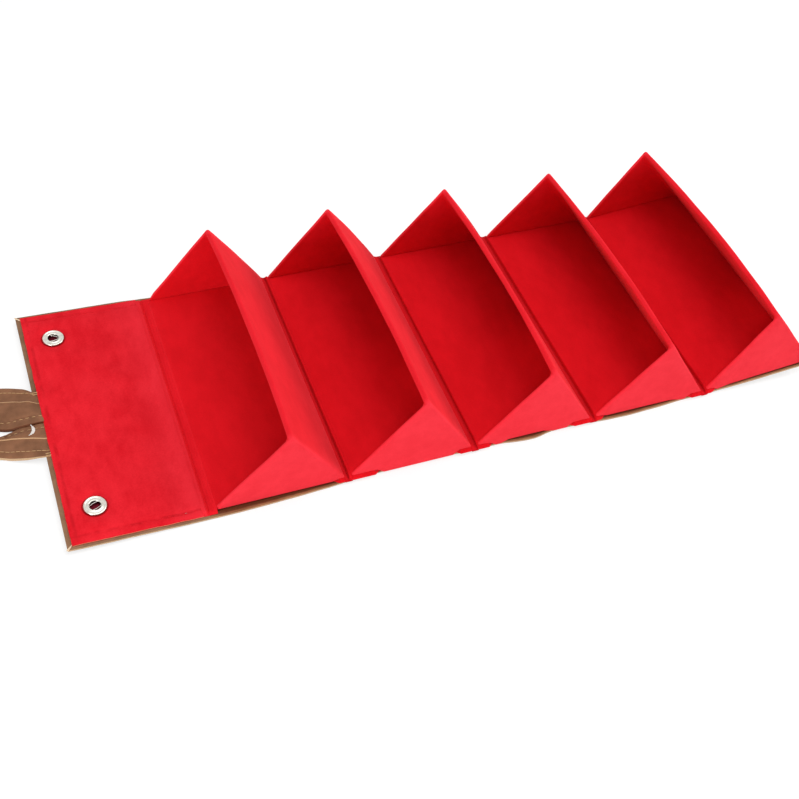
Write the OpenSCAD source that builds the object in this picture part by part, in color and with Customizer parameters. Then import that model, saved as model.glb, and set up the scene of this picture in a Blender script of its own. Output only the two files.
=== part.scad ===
// Roll-up eyewear case lying open: five slanted compartments on hinged leather panels,
// a closing flap on a narrow spine, two press studs and a hanging loop.
// Origin: centre of the middle panel's underside. +X runs towards the last panel, +Z is up.

/* [Panels] */
// Distance from one fold to the next
panel_pitch = 78; // [68:0.5:95]
// Width over the outer faces of the gussets
gusset_span = 170; // [150:1:190]
// How far the floor lining runs past each gusset
lining_border = 1.5; // [0.8:0.1:3]
// How far the leather runs past the lining at a fold
fold_border = 0.5; // [0.5:0.1:3]
// How far a leather panel bows out further between its folds
leather_bow = 0.8; // [0.5:0.1:3]

/* [Layers] */
// Thickness of the outer leather
leather_t = 1.6; // [1.2:0.1:2.2]
// Thickness of the stiff board under each floor
board_t = 1.8; // [1.2:0.1:2.6]
// Thickness of the suede lining
lining_t = 0.6; // [0.4:0.1:0.9]
// Thickness of the padding in the flap
padding_t = 0.8; // [0.6:0.1:1.4]
// Clearance that stays beside each fold when it is closed
fold_clear = 0.25; // [0.15:0.05:0.6]
// Gap between two leather panels at their fold
fold_split = 0.1; // [0.05:0.01:0.2]

/* [Compartments] */
// Thickness of a slanted wall
wall_t = 3; // [2.2:0.1:4]
// Thickness of a gusset
gusset_t = 2.4; // [2:0.1:3.4]
// Thickness of the suede that wraps walls and gussets
wrap_t = 0.6; // [0.3:0.05:0.8]
// Degrees by which a wall leans past the middle of the rolled-up corner
wall_lean = 0.9; // [0:0.1:1.8]
// Degrees by which a gusset's open edge stays back from the middle of that corner
open_edge_back = 2.5; // [2:0.1:6]
// Radius of the gussets' lower corners
foot_corner_r = 1.2; // [0.5:0.1:2]

/* [Flap] */
// Width of the spine between the flap and the first panel
spine_w = 5; // [4.8:0.1:8]
// Length of the flap from the spine to its free leather edge
flap_l = 74; // [66:0.5:76]
// Leather left bare round the flap's lining
flap_border = 2.8; // [1.5:0.1:5]
// Gap between the flap's lining and the last panel's leather when shut
shut_gap = 1.4; // [1.2:0.1:2]

/* [Press studs] */
// Diameter of a socket's ring
ring_d = 14; // [11:0.5:16]
// Height of the ring above the lining
ring_h = 1.1; // [0.9:0.1:1.2]
// Diameter of the socket's mouth
mouth_d = 6; // [5:0.1:6]
// Distance from a socket to the flap's free edge
snap_inset = 19; // [15:0.5:26]
// Distance between the two sockets
snap_spread = 130; // [100:1:145]
// Diameter of the wire springs
wire_d = 0.5; // [0.4:0.05:0.6]
// Diameter of the cap outside the flap
cap_d = 15; // [12:0.5:17]
// Height of the cap below the leather
cap_h = 1.8; // [1.2:0.1:2.4]
// Diameter of a stud's flange
stud_flange_d = 11; // [9:0.5:13]
// How far a stud stands out of the last panel's leather
stud_h = 1.9; // [1.6:0.05:2]
// Diameter of a stud's head
stud_head_d = 3.8; // [3.4:0.1:4]
// Diameter of a stud's neck
stud_neck_d = 2.8; // [2.4:0.1:2.9]
// Diameter of the rivets' shanks
shank_d = 3; // [2.4:0.1:3.4]
// Thickness of the stud's flange and of its rivet plate
plate_t = 0.5; // [0.3:0.05:0.7]

/* [Hanging loop] */
// Width of one strand where it enters the flap
strand_w = 24; // [18:0.5:30]
// Half width of the loop at its shoulder, just outside the flap
shoulder_r = 26; // [24:0.5:28]
// Distance from the root to the shoulder
shoulder_x = 4; // [2:0.5:8]
// Half width of the loop at its widest place
loop_r = 31; // [26:0.5:36]
// Half width of the slot that a hook goes through
slot_r = 9.5; // [6:0.5:11]
// Distance from the root to the centre of the loop's round end
loop_reach = 80; // [60:1:100]
// Distance from the root to the start of the slot
slot_start = 12; // [10:0.5:20]
// Distance from the slot's start to the loop's middle line
slot_offset = 5.5; // [0:0.5:7]
// Distance from the root to the end of the slot's flare
flare_end = 26; // [22:1:40]
// Half width of the slot at the end of its flare
flare_r = 5; // [3:0.5:6]
// Thickness of the strap
strap_t = 3; // [2.4:0.1:4]
// Thickness of the strap where it enters the flap
root_t = 1.5; // [1.2:0.1:1.8]
// Length of the tabs sewn inside the flap
tab_l = 14; // [8:0.5:20]
// Gap between the strap's root and the flap
strap_clear = 0.3; // [0.2:0.05:0.5]
// Gap between the two tabs
tab_gap = 0.4; // [0.2:0.1:1]
// Length of the strap's slope down to the surface
strap_slope = 20; // [14:1:30]
// Degrees by which the loop lies askew
strap_skew = 13; // [0:1:15]
// Sideways shift of the loop's middle line at its root
strap_shift = 3; // [0:0.5:4]

/* [Hidden] */
$fn = 48;
panel_count = 5;
middle_panel = 3;

// Press stud details: running gap, ring's rim, barrel, rivet plate and the head's edges
slide = 0.1;
rim_t = 0.25;
barrel_wall = 0.9;
barrel_floor_t = 0.4;
rivet_r = 4.5;
head_edge = 0.4;
head_round = 0.2;

leather_color = "#8f6b50";
board_color = "#b59b78";
suede_color = "#d8202c";
padding_color = "#d9d2c4";
metal_color = "#d7d4cc";

// Rolled up, the panels are the sides of a regular prism, so every fold turns this far
fold_angle = 360 / panel_count;
corner_half = (180 - fold_angle) / 2;

// Every fold bends about the top of the leather; what stands above it keeps clear
floor_t = board_t + lining_t;
floor_z = leather_t + floor_t;
groove_half = floor_t * tan(fold_angle / 2) + fold_clear;
lip_gap = lining_t * tan(fold_angle / 2) + fold_clear;
floor_w = panel_pitch - 2 * groove_half;
gusset_y = gusset_span / 2;
lining_y = gusset_y + lining_border;
fold_y = lining_y + fold_border;

// A compartment's triangle: the slanted wall on its right, the open side on its left
wall_angle = corner_half + wall_lean;
open_angle = corner_half - open_edge_back;
apex_run = floor_w * tan(wall_angle) / (tan(wall_angle) + tan(open_angle));
apex_rise = apex_run * tan(open_angle);
ridge_r = wall_t / 2;

// Shut, the spine carries the flap round the last panel, parallel to it
flap_top_t = padding_t + lining_t;
flap_z = leather_t + flap_top_t;
nest = leather_t + flap_top_t + shut_gap;
flap_fold = asin(nest / spine_w);
flap_groove_half = flap_top_t * tan(flap_fold / 2) + fold_clear;
flap_lining_l = flap_l - flap_border;
flap_y = lining_y + flap_border;
socket_x = flap_l - snap_inset;
snap_y = snap_spread / 2;
stud_x = panel_pitch - spine_w * cos(flap_fold) - socket_x;

// Places of the folds along the case
function panel_x(i) = (i - middle_panel - 0.5) * panel_pitch;
spine_x = panel_x(1);
flap_x = spine_x - spine_w;

// Tilt at which a piece, hinged at the top of the leather, rests on a foot of that
// reach and of that depth below the hinge
function rest_tilt(reach, depth) =
    acos(leather_t / norm([reach, depth])) - atan2(reach, depth);
cap_flat_r = cap_d / 4;
head_flat_r = stud_head_d / 2 - head_edge;
flap_tilt = rest_tilt(socket_x - cap_flat_r, leather_t + cap_h);
last_tilt = rest_tilt(stud_x - head_flat_r, leather_t + stud_h);

// Press studs: the mouth, the springs' place in the ring and the head below them
mouth_r = mouth_d / 2;
barrel_r = mouth_r + barrel_wall;
spring_seat_r = ring_d / 2 - barrel_wall * 3;
spring_z = ring_h - rim_t - slide - wire_d / 2;
spring_room = wire_d + slide;
spring_x = stud_neck_d / 2 + slide + wire_d / 2;
ring_air = shut_gap - ring_h;
head_t = stud_h - ring_air - ring_h + spring_z - wire_d / 2 - slide / 2;

// Hanging loop: its round root bends just off the flap's edge, level with the tabs
root_r = root_t / 2;
root_x = -flap_l - strap_clear - root_r;
root_z = leather_t + padding_t / 2;

// Points of an arc about c
function arc_points(c, r, a0, a1, steps) =
    [for (k = [0 : steps]) c + r * [cos(a0 + (a1 - a0) * k / steps), sin(a0 + (a1 - a0) * k / steps)]];

// Left foot, right foot and apex of the compartment's triangle, inset by d
function tri_feet(d) = [
    [groove_half + d / tan(open_angle / 2), floor_z + d],
    [groove_half + floor_w - d / tan(wall_angle / 2), floor_z + d]
];
function tri_apex(d) =
    let (feet = tri_feet(d), w = feet[1][0] - feet[0][0],
         run = w * tan(wall_angle) / (tan(wall_angle) + tan(open_angle)))
    feet[0] + [run, run * tan(open_angle)];

// Triangle with rounded corners, as a closed outline in X and Z
function gusset_outline(d, foot_r, top_r) =
    concat(
        arc_points(tri_feet(d + foot_r)[0], foot_r, 180 - (90 - open_angle), 270, 4),
        arc_points(tri_feet(d + foot_r)[1], foot_r, 270, 360 + 90 - wall_angle, 4),
        arc_points(tri_apex(d + top_r), top_r, 90 - wall_angle, 90 + open_angle, 8)
    );

// Slanted slab with a round ridge, as a closed outline in X and Z, inset by d
function wall_outline(d) =
    let (ridge = tri_apex(ridge_r),
         along = [cos(wall_angle), -sin(wall_angle)],
         foot_drop = (ridge[1] - floor_z - d) / sin(wall_angle),
         out = [sin(wall_angle), cos(wall_angle)] * (ridge_r - d))
    concat(
        [ridge - out + along * (foot_drop - (ridge_r - d) / tan(wall_angle)),
         ridge + out + along * (foot_drop + (ridge_r - d) / tan(wall_angle))],
        arc_points(ridge, ridge_r - d, 90 - wall_angle, 270 - wall_angle, 10)
    );

module extrude_y(y0, y1) {
    translate([0, y1, 0]) rotate([90, 0, 0]) linear_extrude(height = y1 - y0) children();
}

// Tilts about the fold line at the top of the leather
module about_fold(angle) {
    translate([0, 0, leather_t]) rotate([0, angle, 0]) translate([0, 0, -leather_t]) children();
}

module place_panel(i) {
    translate([panel_x(i), 0, 0]) about_fold(i == panel_count ? -last_tilt : 0) children();
}

module place_spine() {
    translate([spine_x, 0, 0]) children();
}

module place_flap() {
    translate([flap_x, 0, 0]) about_fold(flap_tilt) children();
}

module at_studs() {
    for (side = [-1, 1]) translate([stud_x, side * snap_y, 0]) children();
}

module at_sockets() {
    for (side = [-1, 1]) translate([-socket_x, side * snap_y, 0]) children();
}

// Leather under one panel: both ends bow out between the folds
module outer_leather(i) {
    x0 = fold_split / 2;
    x1 = i == panel_count ? panel_pitch - groove_half : panel_pitch - fold_split / 2;
    half = (x1 - x0) / 2;
    bow_r = (half * half + leather_bow * leather_bow) / (2 * leather_bow);
    swing = asin(half / bow_r);
    centre_y = fold_y + leather_bow - bow_r;
    color(leather_color) difference() {
        linear_extrude(height = leather_t) polygon(concat(
            arc_points([x0 + half, centre_y], bow_r, 90 - swing, 90 + swing, 12),
            arc_points([x0 + half, -centre_y], bow_r, 270 - swing, 270 + swing, 12)
        ));
        if (i == panel_count) at_studs() {
            translate([0, 0, -1]) cylinder(h = leather_t + 2, d = shank_d);
            translate([0, 0, -1]) cylinder(h = 1 + plate_t, d = stud_flange_d);
        }
    }
}

module base_board(i) {
    color(board_color) difference() {
        translate([groove_half + lining_t, -gusset_y, leather_t])
            cube([floor_w - 2 * lining_t, gusset_span, board_t]);
        if (i == panel_count) at_studs() {
            cylinder(h = floor_z, d = shank_d);
            translate([0, 0, leather_t + board_t - plate_t]) cylinder(h = floor_z, r = rivet_r);
        }
    }
}

// Suede over the board, down both its sides and out into the grooves
module floor_lining(i) {
    left = groove_half;
    right = panel_pitch - groove_half;
    lip_z = leather_t + lining_t;
    under_z = floor_z - lining_t;
    lip_end = panel_pitch - lip_gap;
    right_lip = i == panel_count ? [[right, leather_t]] : [[lip_end, leather_t], [lip_end, lip_z], [right, lip_z]];
    color(suede_color) extrude_y(-lining_y, lining_y) polygon(concat(
        [[lip_gap, leather_t], [left + lining_t, leather_t], [left + lining_t, under_z],
        [right - lining_t, under_z], [right - lining_t, leather_t]],
        right_lip,
        [[right, floor_z], [left, floor_z], [left, lip_z], [lip_gap, lip_z]]
    ));
}

module wall_cover() {
    reach = gusset_y - gusset_t;
    color(suede_color) difference() {
        extrude_y(-reach, reach) polygon(wall_outline(0));
        extrude_y(-reach + wrap_t, reach - wrap_t) polygon(wall_outline(wrap_t));
    }
}

module wall_card() {
    reach = gusset_y - gusset_t - wrap_t;
    color(board_color) extrude_y(-reach, reach) polygon(wall_outline(wrap_t));
}

// Outer face on the side that side points to
module gusset(side) {
    y_mid = side * (gusset_y - gusset_t / 2);
    color(suede_color) difference() {
        extrude_y(y_mid - gusset_t / 2, y_mid + gusset_t / 2)
            polygon(gusset_outline(0, foot_corner_r, ridge_r));
        gusset_card(side);
    }
}

module gusset_card(side) {
    y_mid = side * (gusset_y - gusset_t / 2);
    half_t = gusset_t / 2 - wrap_t;
    color(board_color) extrude_y(y_mid - half_t, y_mid + half_t)
        polygon(gusset_outline(wrap_t, foot_corner_r - wrap_t / 2, ridge_r - wrap_t));
}

module gusset_cards() {
    for (side = [-1, 1]) gusset_card(side);
}

module spine_leather() {
    color(leather_color)
        translate([-spine_w + fold_split / 2, -fold_y, 0])
            cube([spine_w - fold_split, 2 * fold_y, leather_t]);
}

module spine_lining() {
    color(suede_color)
        translate([-spine_w + lip_gap, -lining_y, leather_t])
            cube([spine_w - 2 * lip_gap, 2 * lining_y, lining_t]);
}

// Flap leather widens from the fold to its full border
module flap_leather() {
    widen = flap_border * 3;
    color(leather_color) difference() {
        linear_extrude(height = leather_t) polygon([
            [-fold_split / 2, fold_y], [-widen, flap_y], [-flap_l, flap_y],
            [-flap_l, -flap_y], [-widen, -flap_y], [-fold_split / 2, -fold_y]
        ]);
        at_sockets() translate([0, 0, -1]) cylinder(h = leather_t + 2, d = shank_d);
    }
}

module flap_padding() {
    x_in = flap_groove_half + lining_t;
    color(padding_color) difference() {
        translate([-flap_lining_l, -gusset_y, leather_t])
            cube([flap_lining_l - x_in, gusset_span, padding_t]);
        at_sockets() cylinder(h = flap_z + 1, r = barrel_r);
        translate([-flap_lining_l - 1, -strand_w, 0])
            cube([tab_l + 1, 2 * strand_w, flap_z + 1]);
    }
}

module flap_lining() {
    x_in = -flap_groove_half;
    under_z = flap_z - lining_t;
    color(suede_color) difference() {
        extrude_y(-lining_y, lining_y) polygon([
            [-lip_gap, leather_t], [-lip_gap, leather_t + lining_t], [x_in, leather_t + lining_t],
            [x_in, flap_z], [-flap_lining_l, flap_z], [-flap_lining_l, under_z],
            [x_in - lining_t, under_z], [x_in - lining_t, leather_t]
        ]);
        at_sockets() cylinder(h = flap_z + 1, r = barrel_r);
    }
}

// Domed caps outside the flap, each with a shank up to its socket
module snap_caps() {
    dome_steps = 6;
    rim_r = cap_d / 2;
    function dome_r_at(t) = cap_flat_r + (rim_r - cap_flat_r) * sin(90 * t);
    function dome_z_at(t) = -cap_h * cos(90 * t);
    color(metal_color) at_sockets() {
        rotate_extrude() polygon(concat(
            [[0, -cap_h]],
            [for (k = [0 : dome_steps]) [dome_r_at(k / dome_steps), dome_z_at(k / dome_steps)]],
            [[0, 0]]
        ));
        cylinder(h = leather_t + slide, d = shank_d);
    }
}

// Flat rings with a rolled rim, a seat for the springs and a barrel down to the leather
module snap_rings() {
    rim_r = ring_d / 2;
    top_z = flap_z + ring_h;
    seat_lo = flap_z + spring_z - spring_room / 2;
    seat_hi = flap_z + spring_z + spring_room / 2;
    color(metal_color) at_sockets() rotate_extrude() polygon([
        [0, leather_t + slide], [barrel_r, leather_t + slide], [barrel_r, flap_z],
        [rim_r - rim_t, flap_z], [rim_r, flap_z + rim_t], [rim_r, top_z - 2 * rim_t],
        [rim_r - 2 * rim_t, top_z], [mouth_r + rim_t, top_z], [mouth_r, top_z - rim_t / 2],
        [mouth_r, seat_hi], [spring_seat_r, seat_hi], [spring_seat_r, seat_lo],
        [mouth_r, seat_lo], [mouth_r, leather_t + barrel_floor_t],
        [0, leather_t + barrel_floor_t]
    ]);
}

// Two wires cross each mouth and clip round the stud's neck
module snap_springs() {
    wire_l = 2 * sqrt(pow(spring_seat_r - slide, 2) - pow(spring_x + wire_d / 2, 2));
    color(metal_color) at_sockets() for (side = [-1, 1])
        translate([side * spring_x, wire_l / 2, flap_z + spring_z])
            rotate([90, 0, 0]) cylinder(h = wire_l, d = wire_d);
}

// Flange sunk in the leather, neck and head below it, shank up through the board
module stud_posts() {
    neck_r = stud_neck_d / 2;
    head_r = stud_head_d / 2;
    color(metal_color) at_studs() rotate_extrude() polygon([
        [0, -stud_h], [head_flat_r, -stud_h], [head_r, head_round - stud_h],
        [head_r, head_t - head_edge - stud_h], [neck_r, head_t - stud_h], [neck_r, 0],
        [stud_flange_d / 2, 0], [stud_flange_d / 2, plate_t], [shank_d / 2, plate_t],
        [shank_d / 2, leather_t + board_t - plate_t], [0, leather_t + board_t - plate_t]
    ]);
}

module stud_backs() {
    color(metal_color) at_studs()
        translate([0, 0, leather_t + board_t - plate_t]) cylinder(h = plate_t, r = rivet_r);
}

// The strap's two ends, sewn in between leather and lining and out over the bare border
module strap_tabs() {
    tab_w = strand_w - tab_gap / 2;
    color(leather_color) for (side = [-1, 1])
        translate([-flap_l, side * (tab_gap + tab_w) / 2 - tab_w / 2, leather_t])
            cube([flap_border + tab_l, tab_w, padding_t]);
}

// A point given in the open flap's plane, in the case's frame
function on_flap(x, z) = [
    flap_x + x * cos(flap_tilt) + (z - leather_t) * sin(flap_tilt),
    leather_t - x * sin(flap_tilt) + (z - leather_t) * cos(flap_tilt)
];
function askew(p) = [
    -(p[0] * cos(strap_skew) - p[1] * sin(strap_skew)),
    strap_shift + p[0] * sin(strap_skew) + p[1] * cos(strap_skew)
];

// Two strands side by side that part round a slot and meet in a round end
module strap_loop() {
    root = on_flap(root_x, root_z);
    foot_x = root[0] - strap_slope;
    tip_x = root[0] - loop_reach - 2 * loop_r;
    outline = concat(
        [[root_r, strand_w], [-shoulder_x, strap_shift + shoulder_r]],
        [for (p = arc_points([loop_reach, 0], loop_r, 90, -90, 24)) askew(p)],
        [[-shoulder_x, strap_shift - shoulder_r], [root_r, -strand_w]]
    );
    slot = concat(
        [askew([slot_start, -slot_offset]), askew([flare_end, flare_r - slot_offset])],
        [for (p = arc_points([loop_reach, 0], slot_r, 90, -90, 16)) askew(p)],
        [askew([flare_end, -flare_r - slot_offset])]
    );
    side_view = concat(
        [[foot_x, 0], [tip_x, 0], [tip_x, strap_t], [foot_x, strap_t]],
        arc_points(root, root_r, 100, -100, 10)
    );
    color(leather_color) intersection() {
        translate([root[0], 0, -1]) linear_extrude(height = root[1] + 2 * strap_t) difference() {
            polygon(outline);
            polygon(slot);
        }
        extrude_y(-2 * loop_r, 2 * loop_r) polygon(side_view);
    }
}

for (i = [1 : panel_count]) {
    place_panel(i) outer_leather(i);
    place_panel(i) base_board(i);
    place_panel(i) floor_lining(i);
    place_panel(i) wall_cover();
    place_panel(i) wall_card();
    place_panel(i) gusset(-1);
    place_panel(i) gusset(1);
    place_panel(i) gusset_cards();
}
place_spine() spine_leather();
place_spine() spine_lining();
place_flap() flap_leather();
place_flap() flap_padding();
place_flap() flap_lining();
place_flap() snap_caps();
place_flap() snap_rings();
place_flap() snap_springs();
place_flap() strap_tabs();
strap_loop();
place_panel(panel_count) stud_posts();
place_panel(panel_count) stud_backs();
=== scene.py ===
import math

import bpy
from mathutils import Matrix, Vector, noise


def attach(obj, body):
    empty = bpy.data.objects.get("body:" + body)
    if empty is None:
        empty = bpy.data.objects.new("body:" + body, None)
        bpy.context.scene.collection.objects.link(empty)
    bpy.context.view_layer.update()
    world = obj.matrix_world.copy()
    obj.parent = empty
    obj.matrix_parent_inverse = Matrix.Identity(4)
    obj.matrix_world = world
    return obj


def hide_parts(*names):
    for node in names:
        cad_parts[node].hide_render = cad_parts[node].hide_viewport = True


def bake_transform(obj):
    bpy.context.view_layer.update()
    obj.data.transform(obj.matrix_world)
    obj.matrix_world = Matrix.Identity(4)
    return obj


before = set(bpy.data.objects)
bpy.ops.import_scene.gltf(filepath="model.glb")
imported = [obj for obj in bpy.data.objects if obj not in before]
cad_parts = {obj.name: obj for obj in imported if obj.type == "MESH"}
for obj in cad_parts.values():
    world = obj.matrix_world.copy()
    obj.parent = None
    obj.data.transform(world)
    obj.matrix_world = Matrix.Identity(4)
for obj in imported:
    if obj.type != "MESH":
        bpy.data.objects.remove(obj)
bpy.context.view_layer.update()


# Camera
# It looks down at the open case from the flap's end, well in front of it, and is turned
# a little on its own axis.
bpy.ops.object.camera_add(location=(-0.27485, -0.45796, 0.53509),
                          rotation=[math.radians(a) for a in (41.0852, -4.9812, -20.4679)])
bpy.context.object.data.sensor_width = 36
bpy.context.object.data.lens = 53.1313
bpy.context.object.data.clip_end = 20
bpy.context.scene.camera = bpy.context.object
bpy.context.scene.view_settings.view_transform = "Standard"


# Table and studio light
# A white table that runs out of view, even white air all round, a broad lamp above, one
# beyond the last compartment and a low one off the flap's front corner.
class Wire:
    """A value in a finish's nodes. The usual signs between values add Math nodes."""
    def __init__(self, finish, socket):
        self.finish, self.socket = finish, socket

    def math(self, operation, *values):
        return self.finish.put("Math", {"operation": operation}, dict(enumerate(values)))

    def __add__(self, other):
        return self.math("ADD", self, other)

    def __sub__(self, other):
        return self.math("SUBTRACT", self, other)

    def __rsub__(self, other):
        return self.math("SUBTRACT", other, self)

    def __mul__(self, other):
        return self.math("MULTIPLY", self, other)

    __radd__, __rmul__ = __add__, __mul__

    def above(self, edge, soft):
        """0 below edge - soft, 1 above edge + soft."""
        return self.finish.put("MapRange", {"interpolation_type": "SMOOTHSTEP"},
                               {"Value": self, "From Min": edge - soft, "From Max": edge + soft})


class Finish:
    """A material, or another owner of nodes, whose nodes are put in one by one."""
    def __init__(self, name, owner=None):
        self.material = owner or bpy.data.materials.new(name)
        self.material.use_nodes = True
        self.tree = self.material.node_tree
        self.tree.nodes.clear()

    def put(self, kind, settings={}, inputs={}, output=0):
        """Adds a node with its settings and inputs, and gives one of its outputs."""
        node = self.tree.nodes.new("ShaderNode" + kind)
        for key, value in settings.items():
            setattr(node, key, value)
        for key, value in inputs.items():
            if isinstance(value, Wire):
                self.tree.links.new(value.socket, node.inputs[key])
            else:
                node.inputs[key].default_value = value
        return Wire(self, node.outputs[output]) if len(node.outputs) else None

    def place(self):
        """Object coordinates, in metres."""
        return self.put("TexCoord", output=3)

    def mark(self, name):
        """A number that the piece carries as an attribute."""
        return self.put("Attribute", {"attribute_name": name}, output=2)

    def patches(self, size_mm, detail=2.0, rough=0.5, stretch=(1, 1, 1)):
        """Cloudy noise with patches of that size."""
        where = self.put("Mapping", {}, {"Vector": self.place(), "Scale": stretch})
        return self.put("TexNoise", {}, {"Vector": where, "Scale": 1000 / size_mm,
                                         "Detail": detail, "Roughness": rough})

    def tint(self, mask, low, high):
        """Colour that goes from low to high, each a Wire or plain numbers, with the mask."""
        low, high = (c if isinstance(c, Wire) else (*c, 1) for c in (low, high))
        return self.put("Mix", {"data_type": "RGBA"}, {0: mask, 6: low, 7: high}, output=2)

    def relief(self, height, depth_mm, strength=1.0):
        return self.put("Bump", {}, {"Height": height, "Distance": depth_mm / 1000,
                                     "Strength": strength})

    def looked_at(self):
        """1 where it is looked at, straight or in a reflection, and 0 where it lights the case."""
        camera, glossy, through = (self.put("LightPath", output=k) for k in (0, 3, 6))
        return camera.math("MAXIMUM", camera.math("MAXIMUM", camera, glossy), through)

    def surface(self, **sockets):
        shader = self.put("BsdfPrincipled", {}, {k.replace("_", " "): v for k, v in sockets.items()})
        self.put("OutputMaterial", {}, {"Surface": shader})
        return self.material


def deselect():
    """Clears the selection, so that what is made next is worked on alone."""
    bpy.ops.object.select_all(action="DESELECT")


deselect()
bpy.ops.mesh.primitive_plane_add(size=6, location=(0, 0, -0.0003))
table = bpy.context.object
table.name = "table"
cloth = Finish("white table")
matte = cloth.put("BsdfDiffuse", {}, {"Color": (0.8, 0.8, 0.8, 1)})
dim = cloth.put("BsdfDiffuse", {}, {"Color": (0.32, 0.32, 0.32, 1)})
glow = cloth.put("Emission", {}, {"Color": (1, 1, 1, 1), "Strength": 0.73})
bright = cloth.put("AddShader", {}, {0: dim, 1: glow})
table_look = cloth.put("MixShader", {}, {0: cloth.looked_at(), 1: matte, 2: bright})
cloth.put("OutputMaterial", {}, {"Surface": table_look})
table.data.materials.append(cloth.material)


def lamp(name, place, aim, width, power):
    bpy.ops.object.light_add(type="AREA", location=place)
    light = bpy.context.object
    light.name = name
    light.data.shape = "DISK"
    light.data.size = width
    light.data.energy = power
    light.rotation_euler = (Vector(aim) - Vector(place)).to_track_quat("-Z", "Y").to_euler()


lamp("top_lamp", (0.25, -0.1, 1.5), (0, 0, 0), 1.3, 10.5)
lamp("end_lamp", (1.6, -0.2, 0.9), (0, 0, 0.02), 0.9, 15)
lamp("corner_lamp", (-1.2, -1.0, 0.25), (0, 0, 0.02), 0.5, 10)

bpy.context.scene.world = bpy.data.worlds.new("white air")
air = Finish("white air", bpy.context.scene.world)
plain = air.put("Background", {}, {"Color": (1, 1, 1, 1), "Strength": 0.54})
white = air.put("Background", {}, {"Color": (1, 1, 1, 1), "Strength": 1.0})
air_look = air.put("MixShader", {}, {0: air.looked_at(), 1: plain, 2: white})
air.put("OutputWorld", {}, {"Surface": air_look})


# Outer leather
# One sheet of brown cowhide under the whole case, cut to a slightly bowed edge between the
# # folds. It is made in lengths that reach from the middle of one panel to the middle of the
# # next, so each length spans one fold.
pitch, spine_width, flap_length = 78.0, 5.0, 74.0
leather_top = 1.6
# Both long edges, as places along the case and distances out from its middle line
front_edge = [(-270, 88.6), (-209, 88.5), (-197, 88.3), (-181, 88.4), (-152, 87.5), (-128, 86.4),
              (-115, 85.2), (-98, 84.4), (-50, 84.4), (-39, 85.2), (-24, 84.6), (-18, 85.3),
              (-11, 86.5), (-3, 87.2), (4, 86.4), (10, 84.9), (20, 84.4), (34, 85.1), (50, 86.5),
              (67, 86.7), (85, 86.0), (102, 84.8), (122, 84.9), (140, 85.6), (170, 86.0), (195, 86.0)]
back_edge = [(-209, 89.3), (-197, 88.4), (-185, 87.6), (-156, 88.0), (-117, 87.0), (-78, 87.7),
             (-39, 87.0), (0, 87.9), (39, 87.0), (78, 87.7), (117, 87.0), (156, 87.8), (195, 87.1)]
# How far the last panel and the flap stand up as the case lies, in degrees
last_tilt, flap_tilt = 5.650, 2.010


def fold_x(panel):
    """Place of the fold before a panel. Panel 3 lies in the middle of the case."""
    return (panel - 3.5) * pitch


spine_fold = fold_x(1)
flap_fold = spine_fold - spine_width


def block(name, low, high):
    """A box between two corners, in millimetres until finish_piece."""
    deselect()
    bpy.ops.mesh.primitive_cube_add(size=1)
    piece = bpy.context.object
    piece.name = piece.data.name = name
    low, high = Vector(low), Vector(high)
    piece.data.transform(Matrix.Translation((low + high) / 2) @ Matrix.Diagonal((*(high - low), 1)))
    return piece


def only(piece):
    """Selects this piece alone."""
    deselect()
    piece.select_set(True)
    bpy.context.view_layer.objects.active = piece


def modify(piece, kind, **settings):
    """Adds a modifier and applies it."""
    only(piece)
    modifier = piece.modifiers.new(kind.lower(), kind)
    for key, value in settings.items():
        setattr(modifier, key, value)
    bpy.ops.object.modifier_apply(modifier=modifier.name)


def round_edges(piece, width, segments=3, angle=30):
    modify(piece, "BEVEL", width=width, segments=segments, limit_method="ANGLE",
           angle_limit=math.radians(angle), use_clamp_overlap=True)


def slices(piece, axis, places):
    """Cuts right across the piece, which give its faces the points that shaping moves."""
    only(piece)
    bpy.ops.object.mode_set(mode="EDIT")
    for place in places:
        bpy.ops.mesh.select_all(action="SELECT")
        bpy.ops.mesh.bisect(plane_co=axis * place, plane_no=axis)
    bpy.ops.object.mode_set(mode="OBJECT")


def trim(piece, point, normal):
    """Cuts off what lies past a plane and closes the cut."""
    only(piece)
    bpy.ops.object.mode_set(mode="EDIT")
    bpy.ops.mesh.select_all(action="SELECT")
    bpy.ops.mesh.bisect(plane_co=point, plane_no=normal, use_fill=True, clear_outer=True)
    bpy.ops.object.mode_set(mode="OBJECT")


X, Y, Z = Vector((1, 0, 0)), Vector((0, 1, 0)), Vector((0, 0, 1))


def steps(start, end, about):
    """Evenly spaced places between start and end, about that far apart."""
    count = max(1, round((end - start) / about))
    return [start + (end - start) * k / count for k in range(1, count)]


def shape(piece, move):
    """Moves every point of a piece by a rule."""
    for vertex in piece.data.vertices:
        vertex.co = move(vertex.co.copy())


def ramp(t):
    """A soft step from 0 at 0 to 1 at 1."""
    t = min(1.0, max(0.0, t))
    return t * t * (3 - 2 * t)


def tilted(point, pivot_x, degrees, reach=2.0):
    """Bends a point up about a fold, past pivot_x, as the piece lies at rest."""
    side = 1 if pivot_x > 0 else -1
    part = ramp((side * (point.x - pivot_x) + reach) / (2 * reach))
    pivot = Vector((pivot_x, 0, leather_top))
    turn = Matrix.Rotation(math.radians(-side * degrees * part), 3, "Y")
    return pivot + turn @ (point - pivot)


def lie(point):
    """The rest pose: last panel and flap lie tilted on their studs and caps."""
    if point.x > fold_x(5) - 2:
        return tilted(point, fold_x(5), last_tilt)
    if point.x < flap_fold + 1:
        return tilted(point, flap_fold, flap_tilt, 1.0)
    return point


def wobble(point, size, depth, seed=0):
    """A soft unevenness, size and depth in millimetres."""
    return depth * noise.noise(point / size + Vector((17.3 * seed, 5.1, 2.7)))


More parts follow.
